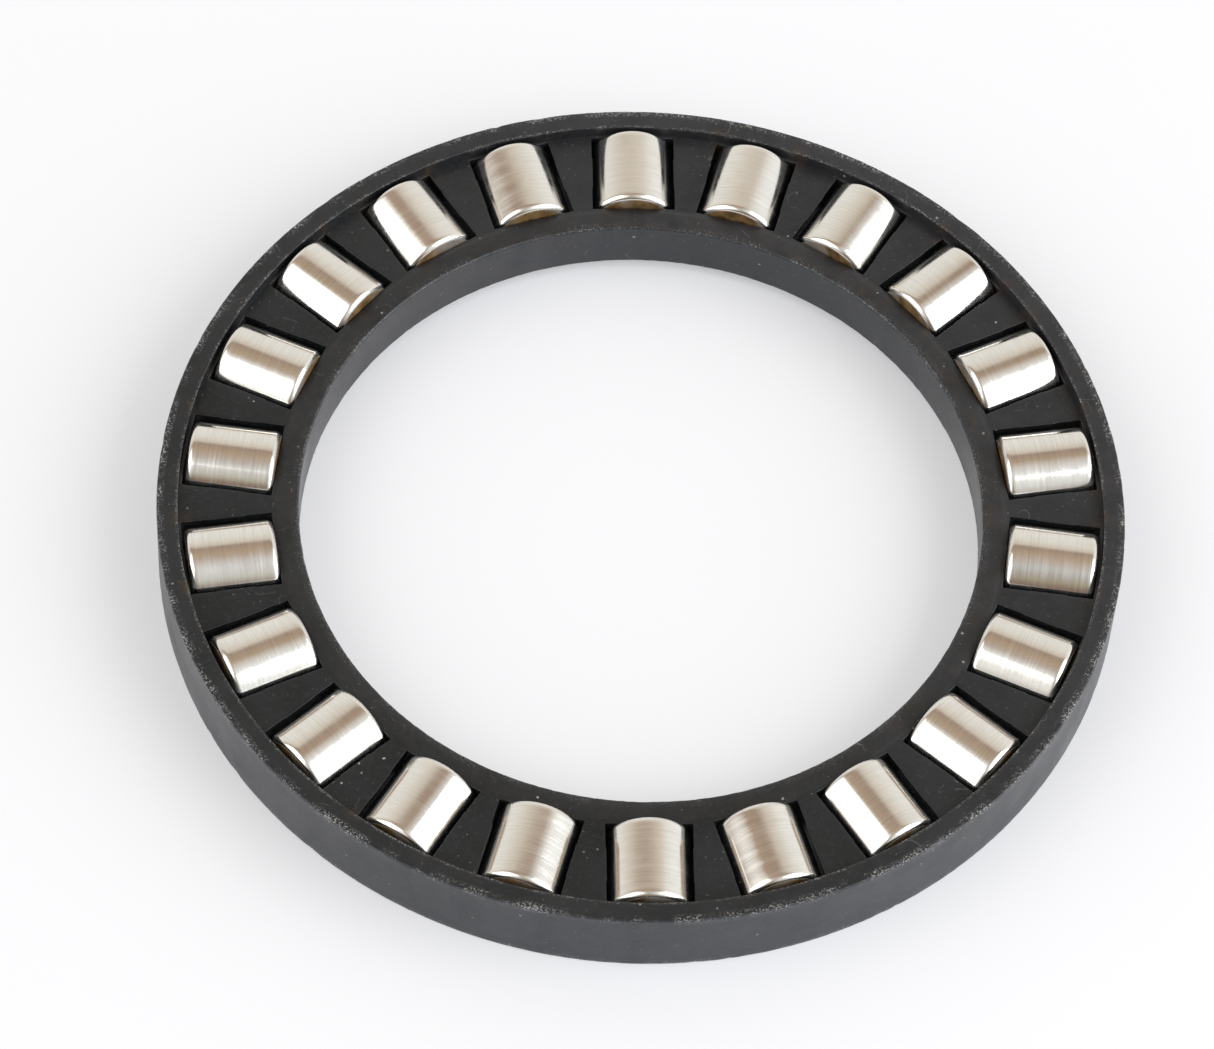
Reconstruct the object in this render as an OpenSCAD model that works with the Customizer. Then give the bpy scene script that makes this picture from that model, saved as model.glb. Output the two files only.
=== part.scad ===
// Axial cylindrical roller and cage assembly.
// The ring axis is Z. The lower roller contact plane is z = 0, and the rollers lie along radii of the ring.
// Every length is in millimetres.

/* [Rollers] */
// Number of rollers, one to a pocket
roller_count = 22; // [16:1:23]
// Diameter of a roller
roller_d = 7.8; // [7.7:0.1:7.9]
// Length of a roller along its own axis
roller_len = 7.8; // [7:0.1:7.8]
// Radius of the rounded corner at each end of a roller
roller_corner_r = 0.5; // [0.2:0.05:0.8]
// Distance from the ring axis to the middle of each pocket
pitch_r = 36.28; // [36.28:0.01:36.33]
// How far the rollers have slid in their pockets, all towards one side of the ring
roller_slide = 0.06; // [0:0.02:0.06]
// Direction in which the rollers have slid, in degrees from +X
slide_heading = 55; // [0:5:355]

/* [Cage ring] */
// Bore diameter of the cage
cage_bore_d = 60.1; // [59:0.1:61]
// Outside diameter of the cage
cage_outer_d = 85; // [84:0.1:86]
// Inside diameter of the outer rim, where it steps down to the webs
rim_inner_d = 81.3; // [81.3:0.1:81.8]
// Height of the outer rim
rim_h = 7.4; // [6.8:0.1:7.5]
// Height of the inner land between the bore and the pockets
land_h = 5.1; // [5.1:0.05:5.5]
// Height of the webs between the pockets
web_h = 5; // [4.6:0.05:5]
// Outside radius of the inner land
land_outer_r = 32.15; // [31.8:0.05:32.15]
// Chamfer on the edges of the bore
bore_chamfer = 0.25; // [0.1:0.05:0.5]
// Chamfer on the outer edges of the rim
rim_chamfer = 0.3; // [0.1:0.05:0.5]
// How far the loose cage hangs below the middle plane of the rollers when the assembly lies flat
cage_drop = 0.15; // [0:0.05:0.15]

/* [Pockets] */
// Free play between a roller and the pocket, on each side of the roller
side_play = 0.12; // [0.08:0.02:0.16]
// Free play between a centred roller and the pocket, at each end of the roller
end_play = 0.11; // [0.08:0.01:0.11]
// Width of the pocket where it opens on the upper and lower faces
mouth_w = 7.47; // [7.35:0.02:7.49]
// Height of the straight stretch of each pocket wall, about the middle of the cage
wall_straight_h = 2.6; // [2:0.1:3]
// How far each retention lip stands out from the mouth of the pocket
lip_out = 0.12; // [0.1:0.02:0.2]
// Length of each retention lip along the roller
lip_len = 3.2; // [2:0.1:5]
// Height of each retention lip
lip_h = 0.7; // [0.4:0.05:0.9]

/* [Hidden] */
$fn = 96;
// How far a pocket cut reaches past the webs, above and below
cut_past = 1.5;

roller_mid_z = roller_d / 2;
cage_mid_z = roller_mid_z - cage_drop;
roller_step = 360 / roller_count;
pocket_w = roller_d + 2 * side_play;
pocket_len = roller_len + 2 * end_play;

function roller_name(i) = str("roller_", i < 10 ? "0" : "", i);

// Corners of the ring's section above the middle plane, as [radius, height] from bore to outside
function upper_ring_corners() =
    let (bore_r = cage_bore_d / 2, outer_r = cage_outer_d / 2, rim_inner_r = rim_inner_d / 2)
    [
        [bore_r, land_h / 2 - bore_chamfer],
        [bore_r + bore_chamfer, land_h / 2],
        [land_outer_r, land_h / 2],
        [land_outer_r, web_h / 2],
        [rim_inner_r, web_h / 2],
        [rim_inner_r, rim_h / 2],
        [outer_r - rim_chamfer, rim_h / 2],
        [outer_r, rim_h / 2 - rim_chamfer]
    ];

// The cage ring before its pockets are cut, centred on the middle plane
module ring_blank() {
    upper = upper_ring_corners();
    lower = [for (i = [len(upper) - 1:-1:0]) [upper[i][0], -upper[i][1]]];
    rotate_extrude($fn = 360)
        polygon(concat(upper, lower));
}

// Section of a pocket across the roller: x is tangential and y is height from the middle plane.
// The walls are straight beside the roller's middle, lean in towards each mouth and go on past the webs.
module pocket_section() {
    half_w = pocket_w / 2;
    straight = wall_straight_h / 2;
    top = web_h / 2 + cut_past;
    lean = (half_w - mouth_w / 2) / (web_h / 2 - straight);
    half_top = half_w - lean * (top - straight);
    polygon([
        [half_w, -straight], [half_w, straight],
        [half_top, top], [-half_top, top],
        [-half_w, straight], [-half_w, -straight],
        [-half_top, -top], [half_top, -top]
    ]);
}

// Draws a section that lies across the rollers out along the radius, centred on the pitch radius
module along_radius(length) {
    translate([pitch_r - length / 2, 0, 0])
        rotate([90, 0, 90])
            linear_extrude(length)
                children();
}

module pocket_cut() {
    along_radius(pocket_len) pocket_section();
}

// One retention lip: what is left standing at the mouth of a pocket, thickest at the face
module lip_section() {
    root = pocket_w / 2 + lip_out;
    tip = mouth_w / 2 - lip_out;
    face = web_h / 2;
    above = face + 2 * cut_past;
    polygon([[root, above], [tip, above], [tip, face - lip_h / 2], [root, face - lip_h]]);
}

// The four lips of one pocket: both side walls, upper and lower face
module pocket_lips() {
    along_radius(lip_len)
        for (side = [0, 1])
            for (face_side = [0, 1])
                mirror([side, 0]) mirror([0, face_side]) lip_section();
}

module cage() {
    color([0.09, 0.095, 0.1])
        translate([0, 0, cage_mid_z])
            difference() {
                ring_blank();
                for (i = [1:roller_count])
                    rotate([0, 0, (i - 1) * roller_step])
                        difference() {
                            pocket_cut();
                            pocket_lips();
                        }
            }
}

// Half section of a roller, with x as the distance from the roller's own axis
module roller_section() {
    r = roller_d / 2;
    union() {
        translate([0, roller_corner_r]) square([r, roller_len - 2 * roller_corner_r]);
        square([r - roller_corner_r, roller_len]);
        for (y = [roller_corner_r, roller_len - roller_corner_r])
            translate([r - roller_corner_r, y]) circle(r = roller_corner_r, $fn = 32);
    }
}

module roller(i) {
    heading = (i - 1) * roller_step;
    slid = roller_slide * cos(heading - slide_heading);
    color([0.78, 0.76, 0.73])
        rotate([0, 0, heading])
            translate([pitch_r + slid - roller_len / 2, 0, roller_mid_z])
                rotate([0, 90, 0])
                    rotate_extrude() roller_section();
}

cage();
for (i = [1:roller_count])
    roller(i);
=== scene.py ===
"""Looks of the axial roller and cage assembly: a moulded cage, ground rollers, floor, lights and camera."""
import math
import random
import bpy
from mathutils import Matrix, Vector, noise


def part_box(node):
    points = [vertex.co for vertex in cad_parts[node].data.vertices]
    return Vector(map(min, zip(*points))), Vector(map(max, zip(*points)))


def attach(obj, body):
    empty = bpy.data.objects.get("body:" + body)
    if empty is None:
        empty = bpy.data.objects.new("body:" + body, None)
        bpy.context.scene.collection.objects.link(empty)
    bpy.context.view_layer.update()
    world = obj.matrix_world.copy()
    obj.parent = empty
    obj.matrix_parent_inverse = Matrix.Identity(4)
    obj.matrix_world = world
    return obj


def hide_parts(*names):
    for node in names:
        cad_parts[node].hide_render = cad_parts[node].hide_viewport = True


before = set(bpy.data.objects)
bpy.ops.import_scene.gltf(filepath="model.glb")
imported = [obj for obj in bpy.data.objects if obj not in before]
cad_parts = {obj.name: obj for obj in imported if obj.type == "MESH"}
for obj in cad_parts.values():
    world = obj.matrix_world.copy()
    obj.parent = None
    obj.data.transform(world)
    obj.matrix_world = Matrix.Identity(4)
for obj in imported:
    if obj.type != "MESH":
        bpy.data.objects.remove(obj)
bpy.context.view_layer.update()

MM = 0.001
ROLLERS = sorted(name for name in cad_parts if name.startswith("roller_"))
SECTORS = len(ROLLERS)
STEP = 2 * math.pi / SECTORS

# ---------------------------------------------------------------- sizes, in millimetres
# The outer box of the cage and of one roller, from the frame
cage_low, cage_high = (Vector(corner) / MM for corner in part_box("cage"))
roller_low, roller_high = (Vector(corner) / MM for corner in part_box(ROLLERS[0]))
MID_Z = (cage_low.z + cage_high.z) / 2
RIM_HALF = (cage_high.z - cage_low.z) / 2
OUTER_R = cage_high.x
ROLLER_R = (roller_high.z - roller_low.z) / 2
ROLLER_LEN = roller_high.x - roller_low.x
# The cage's section, with heights from its middle plane
BORE_R = 30.05
LAND_R = 32.05
RIM_INNER_R = 40.65
LAND_HALF = 2.55
WEB_HALF = 2.5
# The pockets: their ends, wall widths and retention lips
POCKET_IN = 32.27
POCKET_OUT = 40.29
WALL_HALF_W = 4.02
MOUTH_HALF_W = 3.735
WALL_STRAIGHT = 1.3
LIP_OUT = 0.06
LIP_DEEP = 0.35
LIP_SPAN = (34.6, 38.0)
# Roundings that the CAD leaves out: pocket mouths, bore edge, and the rim's foot, crest and outer edge
EDGE_R = 0.07
BORE_EDGE_R = 0.26
RIM_FOOT = 0.12
RIM_CREST_R = 0.08
RIM_EDGE_R = 0.16
# The rollers' blended corner and the number of flats round the mesh
ROLLER_CORNER_R = 0.5
ROLLER_TURNS = 96


# ---------------------------------------------------------------- small helpers
def new_object(name, mesh):
    obj = bpy.data.objects.new(name, mesh)
    bpy.context.scene.collection.objects.link(obj)
    return obj


def smoothstep(low, high, value):
    """0 below low, 1 above high, eased between."""
    t = min(max((value - low) / (high - low), 0.0), 1.0)
    return t * t * (3 - 2 * t)


def linspace(a, b, count):
    return [a + (b - a) * i / (count - 1) for i in range(count)]


def between(p, q, t):
    """A point part of the way from p to q, in full precision so that shared points weld."""
    return tuple(a + (b - a) * t for a, b in zip(p, q))


def arc(cx, cy, radius, start, end, count):
    """Points of an arc in a section, angles in degrees."""
    turns = [math.radians(a) for a in linspace(start, end, count)]
    return [(cx + radius * math.cos(a), cy + radius * math.sin(a)) for a in turns]


class Grid:
    """A mesh made of patches whose shared points are welded."""

    def __init__(self):
        self.points = []
        self.index = {}
        self.faces = []

    def vertex(self, p):
        key = (round(p[0], 4), round(p[1], 4), round(p[2], 4))
        if key not in self.index:
            self.index[key] = len(self.points)
            self.points.append(Vector(p))
        return self.index[key]

    def quad(self, *corners):
        ids = []
        for p in corners:
            v = self.vertex(p)
            if v not in ids:
                ids.append(v)
        if len(ids) > 2:
            self.faces.append(ids)

    def patch(self, rows, flip=False, closed=False):
        """Quads between rows of points. Each row has the same count."""
        for lower, upper in zip(rows, rows[1:]):
            count = len(lower)
            for i in range(count if closed else count - 1):
                j = (i + 1) % count
                corners = (lower[i], lower[j], upper[j], upper[i])
                self.quad(*(reversed(corners) if flip else corners))


# ---------------------------------------------------------------- cage
POCKET_COLUMNS = linspace(-1, 1, 17)
WEB_COLUMNS = linspace(0, 1, 11)[1:-1]
LENGTH_STATIONS = sorted(
    set(linspace(POCKET_IN, POCKET_OUT, 13))
    | {LIP_SPAN[0], LIP_SPAN[0] + 0.12, LIP_SPAN[1] - 0.12, LIP_SPAN[1]}
)


def in_sector(k, x, y, z):
    """A point given along and across pocket k, in the row frame."""
    a = k * STEP
    return (x * math.cos(a) - y * math.sin(a), x * math.sin(a) + y * math.cos(a), MID_Z + z)


def wall_half_width(z):
    """Half the pocket's width at a height from the cage's middle plane."""
    t = max(abs(z) - WALL_STRAIGHT, 0) / (WEB_HALF - WALL_STRAIGHT)
    return WALL_HALF_W + (MOUTH_HALF_W - WALL_HALF_W) * min(t, 1)


def lip_out(x, z):
    """How far a retention lip stands out from a pocket's side wall."""
    along = smoothstep(LIP_SPAN[0] - 0.01, LIP_SPAN[0] + 0.12, x)
    along *= 1 - smoothstep(LIP_SPAN[1] - 0.12, LIP_SPAN[1] + 0.01, x)
    down = WEB_HALF - abs(z)
    return LIP_OUT * along * (1 - smoothstep(LIP_DEEP, 2 * LIP_DEEP, down))


def pocket_loop(k, z, grow):
    """The outline of pocket k at a height: inner end, one side, outer end and the other side."""
    half = wall_half_width(z)
    x_in, x_out = POCKET_IN - grow, POCKET_OUT + grow

    def side(x):
        return half + grow - lip_out(x, z)

    between_ends = [x for x in LENGTH_STATIONS if POCKET_IN + 0.1 < x < POCKET_OUT - 0.1]
    stations = [x_in] + between_ends + [x_out]
    loop = [(x_in, t * side(x_in)) for t in POCKET_COLUMNS]
    loop += [(x, side(x)) for x in stations[1:]]
    loop += [(x_out, t * side(x_out)) for t in reversed(POCKET_COLUMNS[:-1])]
    loop += [(x, -side(x)) for x in reversed(stations[1:-1])]
    return [in_sector(k, x, y, z) for x, y in loop], len(stations)


def pocket_edges(loop, stations_n):
    """A pocket's outline, split into its inner end, left side, outer end and right side."""
    columns_n = len(POCKET_COLUMNS)
    last = 2 * columns_n + stations_n - 2
    inner = loop[:columns_n]
    left = loop[columns_n - 1:columns_n - 1 + stations_n]
    outer = loop[columns_n + stations_n - 2:last][::-1]
    right = loop[:1] + loop[:last - 2:-1]
    return inner, left, outer, right


def pocket_levels():
    """Heights and outline growth down a pocket, rounded at both mouths."""
    top = [(WEB_HALF - EDGE_R * (1 - math.sin(a)), EDGE_R * (1 - math.cos(a)))
           for a in linspace(math.pi / 2, 0, 4)]
    lip_levels = [WEB_HALF - LIP_DEEP, WEB_HALF - 1.5 * LIP_DEEP, WEB_HALF - 2 * LIP_DEEP]
    half = top + [(z, 0) for z in lip_levels + [WALL_STRAIGHT, 0.6, 0]]
    return half + [(-z, g) for z, g in reversed(half[:-1])]


def ring_row(columns, radius, z):
    """Points round the ring at one radius and height."""
    return [(radius * math.cos(a), radius * math.sin(a), MID_Z + z) for a in columns]


def angle_of(p):
    return math.atan2(p[1], p[0])


def land_section():
    """The upper half of the bore and land, from the middle plane to the pockets' inner ends."""
    land = [(BORE_R, 0), (BORE_R, 0.9), (BORE_R, 1.8), (BORE_R, LAND_HALF - 0.3)]
    land += arc(BORE_R + BORE_EDGE_R, LAND_HALF - BORE_EDGE_R, BORE_EDGE_R, 180, 90, 5)
    land += [(BORE_R + 0.9, LAND_HALF), (LAND_R - 0.35, LAND_HALF), (LAND_R - 0.05, LAND_HALF - 0.01)]
    return land + [(LAND_R + 0.05, WEB_HALF)]


def rim_section():
    """The upper half of the rim, from the webs over the crest and down to the middle plane."""
    rim = [(RIM_INNER_R, WEB_HALF + 0.01), (RIM_INNER_R + 0.012, WEB_HALF + RIM_FOOT)]
    rim += [(RIM_INNER_R + 0.006, RIM_HALF - RIM_CREST_R - 0.25)]
    rim += arc(RIM_INNER_R + RIM_CREST_R, RIM_HALF - RIM_CREST_R, RIM_CREST_R, 180, 90, 4)
    rim += [(r, RIM_HALF) for r in linspace(RIM_INNER_R + 0.3, OUTER_R - RIM_EDGE_R - 0.15, 4)]
    rim += arc(OUTER_R - RIM_EDGE_R, RIM_HALF - RIM_EDGE_R, RIM_EDGE_R, 90, 0, 6)
    return rim + [(OUTER_R, z) for z in linspace(RIM_HALF - RIM_EDGE_R - 0.2, 0, 8)]


def add_webs(grid, side):
    """The web faces of one side. Returns the closed edges that they leave for the land and the rim."""
    inner_edge, outer_edge = [], []
    for k in range(SECTORS):
        inner, left, outer, _ = pocket_edges(*pocket_loop(k, side * WEB_HALF, EDGE_R))
        right = pocket_edges(*pocket_loop(k + 1, side * WEB_HALF, EDGE_R))[3]
        rows = [[between(p, q, t) for t in [0] + WEB_COLUMNS + [1]] for p, q in zip(left, right)]
        grid.patch(rows, flip=side > 0)
        inner_edge += inner + rows[0][1:-1]
        outer_edge += outer + rows[-1][1:-1]
    return inner_edge, outer_edge


def cage_mesh():
    """The whole cage as one closed mesh: webs, land and rim of each side, then the pocket walls."""
    grid = Grid()
    for side in (1, -1):
        inner_edge, outer_edge = add_webs(grid, side)
        inner_columns = [angle_of(p) for p in inner_edge]
        outer_columns = [angle_of(p) for p in outer_edge]
        rows = [ring_row(inner_columns, r, side * z) for r, z in land_section()] + [inner_edge]
        grid.patch(rows, flip=side > 0, closed=True)
        rows = [outer_edge] + [ring_row(outer_columns, r, side * z) for r, z in rim_section()]
        grid.patch(rows, flip=side > 0, closed=True)
    for k in range(SECTORS):
        rows = [pocket_loop(k, z, grow)[0] for z, grow in pocket_levels()]
        grid.patch(rows, flip=True, closed=True)
    return grid


def roughen(grid, rng):
    """Uneven outer edges, small nicks and a little waviness in the moulded faces."""
    nicks = []
    for _ in range(70):
        nicks.append((rng.uniform(-math.pi, math.pi), rng.choice((-1, 1)),
                      rng.uniform(0.25, 0.8) / OUTER_R, rng.uniform(0.02, 0.09)))
    for p in grid.points:
        r = math.hypot(p.x, p.y)
        z = p.z - MID_Z
        a = math.atan2(p.y, p.x)
        out = Vector((p.x / r, p.y / r, 0))
        near_edge = smoothstep(OUTER_R - 0.75, OUTER_R - 0.15, r)
        near_edge *= smoothstep(RIM_HALF - 0.7, RIM_HALF - 0.1, abs(z))
        if near_edge > 0:
            rough = noise.noise(Vector((a * 60, z * 2, 3.1))) * 0.018
            rough += noise.noise(Vector((a * 190, z * 3, 9.7))) * 0.02
            dent = 0
            for at, side, width, depth in nicks:
                gap = abs((a - at + math.pi) % (2 * math.pi) - math.pi)
                if z * side > 0 and gap < width:
                    dent = max(dent, depth * (1 - gap / width) ** 0.6)
            inward = max(0.0, 0.01 + rough + dent) * near_edge
            p -= out * inward * 0.6
            p.z -= math.copysign(inward * 0.7, z)
        elif r < BORE_R + 0.3 and abs(z) > LAND_HALF - 0.4:
            ragged = noise.noise(Vector((a * 70, z, 5.2))) * 0.03
            ragged += noise.noise(Vector((a * 210, z, 1.9))) * 0.03
            p += out * max(0.0, 0.012 + ragged)
        elif r > OUTER_R - 0.01:
            p -= out * (0.012 + 0.012 * noise.noise(Vector((a * 45, z * 1.3, 0.4))))
    return grid


def to_object(grid, name):
    """The grid as a smooth-shaded object in metres, creased at its sharp edges."""
    mesh = bpy.data.meshes.new(name)
    mesh.from_pydata([tuple(p * MM) for p in grid.points], [], grid.faces)
    mesh.validate()
    mesh.update()
    for face in mesh.polygons:
        face.use_smooth = True
    mesh.set_sharp_from_angle(angle=math.radians(38))
    return new_object(name, mesh)


def paint_cage(obj, rng):
    """Point values that the material reads: worn edges, oily residue, settled dust, and painted light: a
    lighter bore wall on the left and a painted sheen on the tops towards the far right.
    """
    mesh = obj.data
    wear = mesh.attributes.new("wear", "FLOAT", "POINT")
    grime = mesh.attributes.new("grime", "FLOAT", "POINT")
    dust_and_painted_light = mesh.attributes.new("dust_and_painted_light", "FLOAT", "POINT")
    stained = [rng.random() for _ in range(SECTORS)]
    for i, vertex in enumerate(mesh.vertices):
        p = vertex.co / MM
        r = math.hypot(p.x, p.y)
        z = abs(p.z - MID_Z)
        a = math.atan2(p.y, p.x) % (2 * math.pi)
        k = round(a / STEP) % SECTORS
        x = r * math.cos(a - round(a / STEP) * STEP)
        y = r * math.sin(a - round(a / STEP) * STEP)
        top_edge = smoothstep(OUTER_R - 0.7, OUTER_R - 0.2, r)
        top_edge *= smoothstep(RIM_HALF - 0.6, RIM_HALF - 0.15, z)
        inner_rim = 1 - smoothstep(0.0, 0.22, abs(r - RIM_INNER_R - 0.05))
        inner_rim *= smoothstep(RIM_HALF - 0.2, RIM_HALF, z)
        bore_edge = 1 - smoothstep(0.0, 0.3, abs(r - BORE_R - 0.13))
        bore_edge *= smoothstep(LAND_HALF - 0.35, LAND_HALF - 0.05, z)
        wear.data[i].value = max(top_edge, 0.7 * inner_rim, 0.5 * bore_edge)
        corner = math.hypot(x - POCKET_OUT, (abs(y) - MOUTH_HALF_W) * 0.8)
        patchy = 0.5 + noise.noise(Vector((p.x * 0.7, p.y * 0.7, p.z)))
        near_corner = (1 - smoothstep(0.1, 1.3, corner)) * stained[k] * patchy
        land = (1 - smoothstep(LAND_R, LAND_R + 0.5, r)) * 0.16 * max(patchy, 0)
        grime.data[i].value = min(1.0, max(0.0, near_corner + land))
        outer_wall = smoothstep(OUTER_R - 0.2, OUTER_R - 0.02, r)
        # painted light: the bore wall is painted lighter towards its left side, which faces the right softbox
        painted_lit_side = smoothstep(0.1, 1.0, math.cos(a - math.radians(172)))
        bore_wall = (0.4 + 0.9 * painted_lit_side) * (1 - smoothstep(BORE_R + 0.02, BORE_R + 0.25, r))
        land_top = 0.24 * (1 - smoothstep(LAND_R, LAND_R + 0.1, r))
        land_top *= smoothstep(LAND_HALF - 0.1, LAND_HALF - 0.02, z)
        rim_top = 0.3 * smoothstep(RIM_HALF - 0.1, RIM_HALF - 0.02, z)
        # painted sheen: the land and rim tops are painted lighter towards the far right, round 50 degrees
        end_oil_and_top_sheen = 0.5 * smoothstep(-0.6, 0.9, math.cos(a - math.radians(50)))
        end_oil_and_top_sheen *= smoothstep(LAND_HALF - 0.3, LAND_HALF - 0.06, z)
        dust_and_painted_light.data[i].value = max(outer_wall, bore_wall, land_top + end_oil_and_top_sheen, rim_top + end_oil_and_top_sheen)


# ---------------------------------------------------------------- rollers
def roller_mesh():
    """A ground roller about the local X axis, with flat ends, blended corners and a faint end crown."""
    half = ROLLER_LEN / 2
    corner_x, corner_r = half - ROLLER_CORNER_R, ROLLER_R - ROLLER_CORNER_R
    profile = [(0.0, half - 0.05), (0.35, half - 0.05), (0.6, half - 0.012), (0.9, half), (1.9, half)]
    profile += [(r, half) for r in (2.6, corner_r - 0.05)]
    profile += [(r, x) for x, r in arc(corner_x, corner_r, ROLLER_CORNER_R, 0, 90, 9)]
    profile += [(ROLLER_R, corner_x - 0.2), (ROLLER_R, half * 0.55), (ROLLER_R, half * 0.2)]
    whole = [(x, r) for r, x in profile] + [(-x, r) for r, x in reversed(profile)]
    grid = Grid()
    rows = []
    angles = [2 * math.pi * i / ROLLER_TURNS for i in range(ROLLER_TURNS)]
    for x, r in whole:
        rows.append([(x, r * math.cos(a), r * math.sin(a)) for a in angles])
    grid.patch(rows, flip=True, closed=True)
    mesh = bpy.data.meshes.new("ground_roller")
    mesh.from_pydata([tuple(p * MM) for p in grid.points], [], grid.faces)
    mesh.validate()
    mesh.update()
    for face in mesh.polygons:
        face.use_smooth = True
    mesh.set_sharp_from_angle(angle=math.radians(30))
    return mesh


def add_rollers(material):
    """One roller on each of the frame's roller bodies. They share a mesh."""
    mesh = roller_mesh()
    mesh.materials.append(material)
    for name in ROLLERS:
        low, high = (Vector(corner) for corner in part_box(name))
        centre = (low + high) / 2
        heading = math.atan2(centre.y, centre.x)
        obj = new_object(name + "_ground", mesh)
        obj.matrix_world = Matrix.Translation(centre) @ Matrix.Rotation(heading, 4, "Z")
        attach(obj, name)
        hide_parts(name)


# ---------------------------------------------------------------- materials
class Nodes:
    """Short names for building a node tree."""

    def __init__(self, tree):
        self.tree = tree
        tree.nodes.clear()

    def add(self, kind, **values):
        node = self.tree.nodes.new(kind)
        for key, value in values.items():
            if hasattr(node, key):
                setattr(node, key, value)
            else:
                node.inputs[key.replace("_", " ")].default_value = value
        return node

    def link(self, source, target):
        self.tree.links.new(source, target)

    def math(self, operation, a, b=None, clamp=False):
        node = self.tree.nodes.new("ShaderNodeMath")
        node.operation = operation
        node.use_clamp = clamp
        for socket, value in zip(node.inputs, (a, b)):
            if value is None:
                continue
            if isinstance(value, (int, float)):
                socket.default_value = value
            else:
                self.link(value, socket)
        return node.outputs[0]

    def noise(self, coordinate, scale, detail=3, roughness=0.5):
        node = self.add("ShaderNodeTexNoise")
        node.inputs["Scale"].default_value = scale
        node.inputs["Detail"].default_value = detail
        node.inputs["Roughness"].default_value = roughness
        self.link(coordinate, node.inputs["Vector"])
        return node.outputs["Fac"]

    def stretch(self, value, low, high, to_low=0.0, to_high=1.0):
        node = self.add("ShaderNodeMapRange")
        node.inputs["From Min"].default_value = low
        node.inputs["From Max"].default_value = high
        node.inputs["To Min"].default_value = to_low
        node.inputs["To Max"].default_value = to_high
        self.link(value, node.inputs["Value"])
        return node.outputs["Result"]

    def mix(self, factor, a, b):
        node = self.tree.nodes.new("ShaderNodeMix")
        node.data_type = "RGBA"
        if isinstance(factor, (int, float)):
            node.inputs[0].default_value = factor
        else:
            self.link(factor, node.inputs[0])
        for socket, value in ((node.inputs[6], a), (node.inputs[7], b)):
            if isinstance(value, tuple):
                socket.default_value = (*value, 1)
            else:
                self.link(value, socket)
        return node.outputs[2]


def new_material(name):
    material = bpy.data.materials.new(name)
    material.use_nodes = True
    return material, Nodes(material.node_tree)


def specks(n, coordinate, scale, size, where):
    """Round specks, one at most to a cell, kept only where the mask allows."""
    cells = n.add("ShaderNodeTexVoronoi", Scale=scale, Randomness=1.0)
    n.link(coordinate, cells.inputs["Vector"])
    ragged = n.stretch(n.noise(coordinate, 9000, 2, 0.7), 0.40, 0.56)
    spot = n.math("MULTIPLY", n.stretch(cells.outputs["Distance"], size, size * 0.5), ragged)
    return n.math("MULTIPLY", spot, where, clamp=True)


def cage_material():
    """Black moulded polyamide: grain, a lighter veil of dust and painted light, worn edges, stains, fine
    hairs and dust.
    """
    material, n = new_material("moulded_polyamide")
    here = n.add("ShaderNodeTexCoord").outputs["Object"]
    wear = n.add("ShaderNodeAttribute", attribute_name="wear").outputs["Fac"]
    grime = n.add("ShaderNodeAttribute", attribute_name="grime").outputs["Fac"]
    dust_and_painted_light = n.add("ShaderNodeAttribute", attribute_name="dust_and_painted_light").outputs["Fac"]
    cloud = n.noise(here, 160, 4)
    grain = n.noise(here, 5200, 2, 0.6)
    fibre = n.noise(here, 1900, 3, 0.65)
    base = n.mix(n.stretch(cloud, 0.35, 0.7), (0.0070, 0.0080, 0.0092), (0.0125, 0.0138, 0.0152))
    base = n.mix(n.stretch(fibre, 0.52, 0.78), base, (0.020, 0.022, 0.0245))
    streaks = n.add("ShaderNodeMapping")
    streaks.inputs["Scale"].default_value = (1.0, 1.0, 0.35)
    n.link(here, streaks.inputs["Vector"])
    veil = n.stretch(n.noise(streaks.outputs["Vector"], 520, 5, 0.62), 0.30, 0.68, 0.45, 1.25)
    # the veil mixes in dust and painted light: the sheen on the tops to the far right and the lit left side
    # of the bore
    base = n.mix(n.math("MULTIPLY", dust_and_painted_light, veil), base, (0.030, 0.029, 0.033))
    flecks = n.stretch(n.noise(here, 6500, 2, 0.7), 0.52, 0.62)
    patches = n.stretch(n.noise(here, 420, 3), 0.38, 0.60)
    rough_edge = n.math("MULTIPLY", wear, n.math("MULTIPLY", flecks, patches))
    base = n.mix(rough_edge, base, (0.34, 0.345, 0.35))
    stain = n.math("MULTIPLY", grime, n.stretch(n.noise(here, 900, 4), 0.38, 0.62), clamp=True)
    base = n.mix(stain, base, (0.060, 0.036, 0.016))
    hair = n.math("ABSOLUTE", n.math("SUBTRACT", n.noise(here, 260, 2), 0.5))
    hair = n.math("MULTIPLY", n.stretch(hair, 0.0035, 0.001), n.stretch(n.noise(here, 230, 3), 0.60, 0.64))
    base = n.mix(n.math("MULTIPLY", hair, 0.35), base, (0.25, 0.25, 0.25))
    dusty = n.stretch(n.noise(here, 330, 3), 0.46, 0.62, 0.1, 0.9)
    base = n.mix(specks(n, here, 1700.0, 0.17, dusty), base, (0.15, 0.15, 0.15))
    sparse = n.stretch(n.noise(here, 270, 3), 0.54, 0.60)
    base = n.mix(specks(n, here, 700.0, 0.11, sparse), base, (0.42, 0.42, 0.40))
    shader = n.add("ShaderNodeBsdfPrincipled")
    n.link(base, shader.inputs["Base Color"])
    n.link(n.stretch(cloud, 0.3, 0.7, 0.30, 0.42), shader.inputs["Roughness"])
    shader.inputs["IOR"].default_value = 1.5
    shader.inputs["Specular Tint"].default_value = (0.82, 0.91, 0.98, 1)
    height = n.math("ADD", n.math("MULTIPLY", grain, 0.6), n.math("MULTIPLY", fibre, 0.8))
    bump = n.add("ShaderNodeBump", Strength=0.35, Distance=0.00006)
    n.link(height, bump.inputs["Height"])
    n.link(bump.outputs["Normal"], shader.inputs["Normal"])
    out = n.add("ShaderNodeOutputMaterial")
    n.link(shader.outputs["BSDF"], out.inputs["Surface"])
    return material


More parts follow.
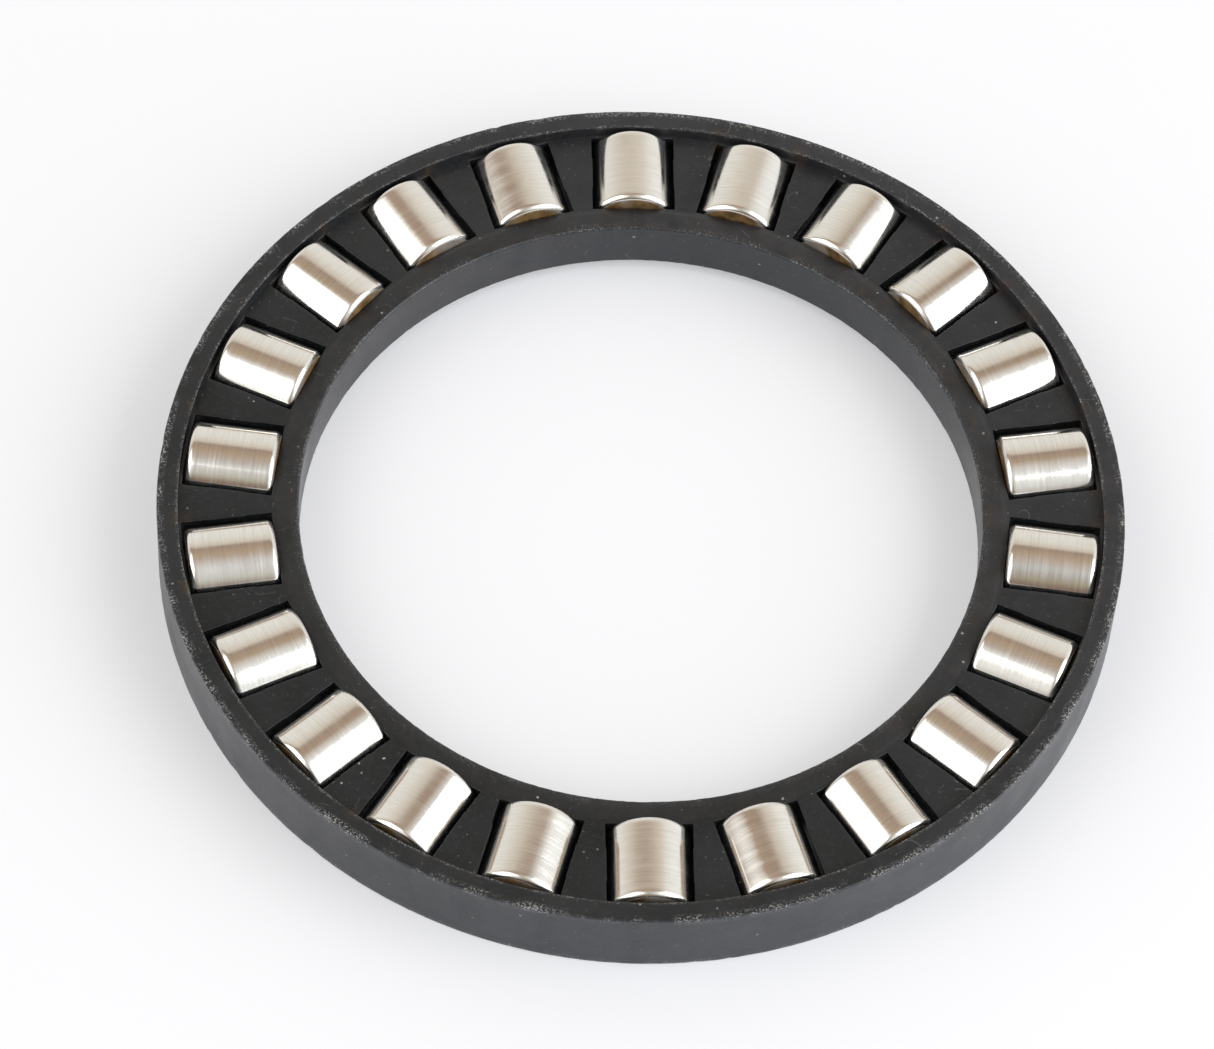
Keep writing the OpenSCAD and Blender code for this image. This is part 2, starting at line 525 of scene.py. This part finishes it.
def roller_material():
    """Steel ground round its axis, with an oily film on the flat ends."""
    material, n = new_material("ground_steel")
    here = n.add("ShaderNodeTexCoord").outputs["Object"]
    chance = n.add("ShaderNodeObjectInfo").outputs["Random"]
    apart = n.add("ShaderNodeVectorMath", operation="ADD")
    spread = n.add("ShaderNodeCombineXYZ")
    for socket in spread.inputs:
        n.link(n.math("MULTIPLY", chance, 3.0), socket)
    n.link(here, apart.inputs[0])
    n.link(spread.outputs[0], apart.inputs[1])
    local = apart.outputs[0]
    squeeze = n.add("ShaderNodeMapping")
    squeeze.inputs["Scale"].default_value = (1.0, 0.035, 0.035)
    n.link(local, squeeze.inputs["Vector"])
    lines = n.noise(squeeze.outputs["Vector"], 6000, 5, 0.75)
    bands = n.noise(squeeze.outputs["Vector"], 1400, 2, 0.5)
    blotch = n.noise(local, 420, 3, 0.55)
    colour = n.mix(n.stretch(lines, 0.35, 0.68), (0.81, 0.80, 0.775), (0.93, 0.92, 0.90))
    colour = n.mix(n.stretch(blotch, 0.55, 0.8, 0, 0.35), colour, (0.70, 0.63, 0.56))
    parts = n.add("ShaderNodeSeparateXYZ")
    n.link(here, parts.inputs[0])
    from_middle = n.math("ABSOLUTE", parts.outputs[0])
    at_end = n.stretch(from_middle, (ROLLER_LEN / 2 - 0.03) * MM, (ROLLER_LEN / 2 - 0.002) * MM)
    mottle = n.stretch(n.noise(local, 900, 4, 0.6), 0.35, 0.65)
    end_oil_and_top_sheen = n.math("MULTIPLY", at_end, n.stretch(n.noise(local, 330, 2), 0.30, 0.50, 0.55, 1.0), clamp=True)
    colour = n.mix(end_oil_and_top_sheen, colour, n.mix(mottle, (0.10, 0.062, 0.024), (0.30, 0.185, 0.075)))
    shader = n.add("ShaderNodeBsdfPrincipled")
    n.link(colour, shader.inputs["Base Color"])
    rough = n.math("ADD", n.stretch(bands, 0.3, 0.7, 0.07, 0.16), n.stretch(lines, 0.3, 0.75, 0.0, 0.09))
    rough = n.math("ADD", rough, n.math("MULTIPLY", end_oil_and_top_sheen, 0.3))
    n.link(rough, shader.inputs["Roughness"])
    n.link(n.stretch(end_oil_and_top_sheen, 0.0, 1.0, 1.0, 0.25), shader.inputs["Metallic"])
    shader.inputs["Anisotropic"].default_value = 0.5
    shader.inputs["Anisotropic Rotation"].default_value = 0.25
    round_axis = n.add("ShaderNodeTangent", direction_type="RADIAL", axis="X")
    n.link(round_axis.outputs["Tangent"], shader.inputs["Tangent"])
    bump = n.add("ShaderNodeBump", Strength=0.22, Distance=0.000004)
    n.link(lines, bump.inputs["Height"])
    n.link(bump.outputs["Normal"], shader.inputs["Normal"])
    out = n.add("ShaderNodeOutputMaterial")
    n.link(shader.outputs["BSDF"], out.inputs["Surface"])
    return material


def floor_material():
    """A pale matt surface. It gives off a little light, which keeps the shadows soft."""
    material, n = new_material("pale_floor")
    shader = n.add("ShaderNodeBsdfPrincipled", Roughness=0.75)
    shader.inputs["Base Color"].default_value = (0.545, 0.562, 0.600, 1)
    shader.inputs["Specular IOR Level"].default_value = 0.2
    shader.inputs["Emission Color"].default_value = (0.325, 0.325, 0.332, 1)
    shader.inputs["Emission Strength"].default_value = 1.0
    out = n.add("ShaderNodeOutputMaterial")
    n.link(shader.outputs["BSDF"], out.inputs["Surface"])
    return material


# ---------------------------------------------------------------- floor, lights and camera
def srgb(*values):
    """Linear colour of a tone given in 0 to 255 display levels."""
    return tuple((v / 255 / 12.92) if v <= 10 else ((v / 255 + 0.055) / 1.055) ** 2.4 for v in values)


def add_floor():
    size = 3.0
    mesh = bpy.data.meshes.new("floor")
    corners = [(-size, -size, 0), (size, -size, 0), (size, size, 0), (-size, size, 0)]
    mesh.from_pydata(corners, [], [(0, 1, 2, 3)])
    floor = new_object("floor", mesh)
    mesh.materials.append(floor_material())


def direction(azimuth, elevation):
    """A unit vector, with azimuth in degrees from +X."""
    az, el = math.radians(azimuth), math.radians(elevation)
    return Vector((math.cos(az) * math.cos(el), math.sin(az) * math.cos(el), math.sin(el)))


def glow(n, way, azimuth, elevation, outer, inner):
    """A soft halo in the studio round one direction, by its outer and inner angles."""
    dot = n.add("ShaderNodeVectorMath", operation="DOT_PRODUCT")
    n.link(way, dot.inputs[0])
    dot.inputs[1].default_value = direction(azimuth, elevation)
    return n.stretch(dot.outputs["Value"], math.cos(math.radians(outer)), math.cos(math.radians(inner)))


def add_studio():
    """A warm, dim studio all round, darker and browner overhead, grey towards the camera."""
    world = bpy.data.worlds.new("studio")
    bpy.context.scene.world = world
    world.use_nodes = True
    n = Nodes(world.node_tree)
    way = n.add("ShaderNodeSeparateXYZ")
    n.link(n.add("ShaderNodeTexCoord").outputs["Generated"], way.inputs[0])
    tilt = n.math("ARCTAN2", way.outputs[1], way.outputs[2])
    place = n.stretch(tilt, -math.pi / 2, math.pi / 2)
    ramp = n.add("ShaderNodeValToRGB")
    n.link(place, ramp.inputs["Fac"])
    tones = [(-88, (112, 92, 78)), (-73, (126, 106, 94)), (-57, (156, 147, 124)), (-40, (166, 158, 152)),
             (-24, (180, 177, 172)), (-8, (182, 166, 154)), (10, (172, 152, 128)), (27, (156, 135, 120)),
             (33, (204, 193, 177)), (41, (214, 206, 194)), (52, (222, 218, 208)), (72, (228, 224, 217)),
             (88, (226, 222, 214))]
    while len(ramp.color_ramp.elements) > 1:
        ramp.color_ramp.elements.remove(ramp.color_ramp.elements[0])
    for i, (degrees, tone) in enumerate(tones):
        at = (degrees + 90) / 180
        stop = ramp.color_ramp.elements[0] if i == 0 else ramp.color_ramp.elements.new(at)
        stop.position = at
        stop.color = (*srgb(*tone), 1)
    to_the_right = n.stretch(way.outputs[0], 0.30, 0.75, 0.0, 0.55)
    far_right = n.math("MULTIPLY", to_the_right, n.stretch(tilt, math.radians(18), math.radians(40)))
    tone = n.mix(far_right, ramp.outputs["Color"], srgb(246, 247, 244))
    sky = n.add("ShaderNodeTexCoord").outputs["Generated"]
    tone = n.mix(glow(n, sky, -17, 31, 54, 30), tone, srgb(232, 233, 230))
    tone = n.mix(glow(n, sky, 213, 34, 44, 30), tone, srgb(232, 230, 224))
    background = n.add("ShaderNodeBackground", Strength=1.1)
    n.link(tone, background.inputs["Color"])
    out = n.add("ShaderNodeOutputWorld")
    n.link(background.outputs[0], out.inputs["Surface"])


def add_softbox(name, azimuth, elevation, width, height, power):
    """A rectangular lamp one metre away, facing the origin."""
    light = bpy.data.lights.new(name, "AREA")
    light.shape = "RECTANGLE"
    light.size = width
    light.size_y = height
    light.energy = power
    light.color = (1.0, 0.995, 0.985)
    obj = new_object(name, light)
    way = direction(azimuth, elevation)
    obj.location = way
    obj.rotation_euler = way.to_track_quat("Z", "Y").to_euler()


def add_camera():
    """Seen from 57 degrees above the floor, from the -Y side, with a little roll."""
    distance, elevation, roll = 0.5297, math.radians(56.975), math.radians(3.898)
    swing = math.radians(3.34)
    target = Matrix.Rotation(swing, 3, "Z") @ Vector((-0.002918, 0.001867, 0))
    place = Matrix.Rotation(swing, 3, "Z") @ Vector((0, -math.cos(elevation), math.sin(elevation))) * distance
    forward = (target - place).normalized()
    right = forward.cross(Vector((0, 0, 1))).normalized()
    up = right.cross(forward)
    rolled_right = right * math.cos(roll) + up * math.sin(roll)
    rolled_up = up * math.cos(roll) - right * math.sin(roll)
    turn = Matrix((rolled_right, rolled_up, -forward)).transposed().to_4x4()
    data = bpy.data.cameras.new("camera")
    data.lens = 176.94
    data.sensor_width = 36
    data.clip_start = 0.01
    obj = new_object("camera", data)
    obj.matrix_world = Matrix.Translation(place) @ turn
    bpy.context.scene.camera = obj


# ---------------------------------------------------------------- build
bpy.context.scene.view_settings.view_transform = "Standard"
rng = random.Random(81)
add_camera()
add_floor()
add_studio()
add_softbox("softbox_right", -13, 31, 0.95, 1.1, 8.6)
add_softbox("softbox_left", 209, 34, 0.95, 1.25, 4.2)

cage = to_object(roughen(cage_mesh(), rng), "cage_moulding")
paint_cage(cage, rng)
cage.data.materials.append(cage_material())
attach(cage, "cage")
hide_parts("cage")
add_rollers(roller_material())
